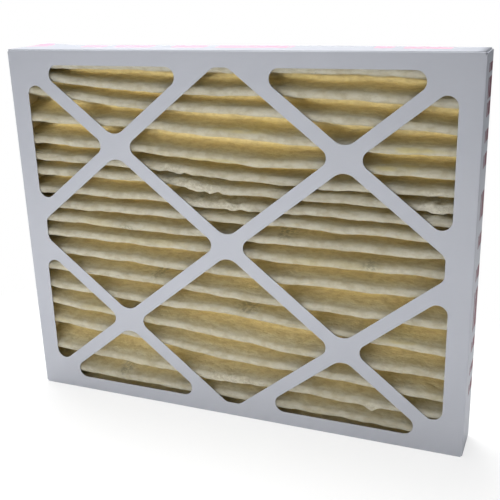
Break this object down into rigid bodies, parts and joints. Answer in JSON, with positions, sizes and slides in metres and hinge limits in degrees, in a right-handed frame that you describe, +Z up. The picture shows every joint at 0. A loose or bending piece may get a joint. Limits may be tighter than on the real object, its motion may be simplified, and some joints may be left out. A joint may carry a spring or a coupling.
{
  "type": "pleated panel air filter",
  "caption": "Flat pleated air filter: rounded horizontal pleats in a folded paperboard frame with die-cut diagonal straps on both faces.",
  "frame": {"origin": "middle of the foot: the bottom centre of the standing filter", "axes": "+X along the width, +Z up, air enters at the -Y face and leaves at +Y"},
  "size_m": [0.4952, 0.0444, 0.3937],
  "materials": {
    "paperboard": "smooth bluish grey-white coated board, dull sheen",
    "inner_paperboard": "smooth bluish grey-white coated board, dull sheen",
    "media": "fuzzy lofted nonwoven, beige on the fold tips and mustard in the folds",
    "grid_wire": "galvanised wire, dull",
    "glue": "set hot-melt adhesive, milky"
  },
  "bodies": {
    "root": {"front_frame": "paperboard", "rear_frame": "inner_paperboard", "pleated_media": "media", "support_grid": "grid_wire", "left_glue_bed": "glue", "right_glue_bed": "glue", "bottom_glue_bead": "glue", "top_glue_bead": "glue"}
  },
  "joints": []
}
